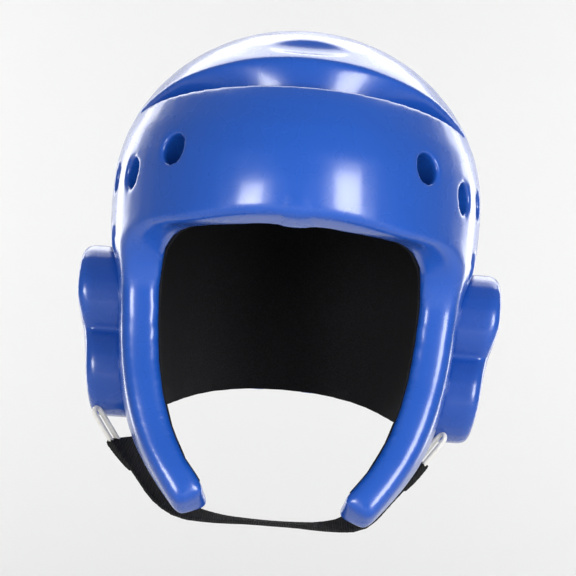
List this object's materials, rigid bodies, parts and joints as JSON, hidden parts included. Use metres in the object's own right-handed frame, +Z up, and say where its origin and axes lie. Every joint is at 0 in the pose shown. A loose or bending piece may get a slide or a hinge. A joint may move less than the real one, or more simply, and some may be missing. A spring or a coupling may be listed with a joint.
{
  "type": "taekwondo headgear",
  "caption": "Open-face dipped-foam sparring headgear with a stepped brow pad, cheek arms, raised ear guards and an elastic chin strap.",
  "frame": {"origin": "inside of the crown, where the top of the wearer's head meets the lining", "axes": "X across the head with the picture's right at +X, -Y towards the open face, +Z up"},
  "size_m": [0.223, 0.242, 0.2605],
  "materials": {
    "shell_skin": "smooth gloss vinyl skin dipped over closed-cell foam",
    "guard_skin": "the same gloss vinyl skin",
    "lining": "thin black foam-backed cloth",
    "webbing": "black woven elastic",
    "ring": "milky white plastic"
  },
  "bodies": {
    "root": {"foam_shell": "shell_skin", "inner_lining": "lining", "ear_guard_left": "guard_skin", "ear_guard_right": "guard_skin", "chin_strap": "webbing", "strap_ring_left": "ring", "strap_ring_right": "ring"}
  },
  "joints": []
}
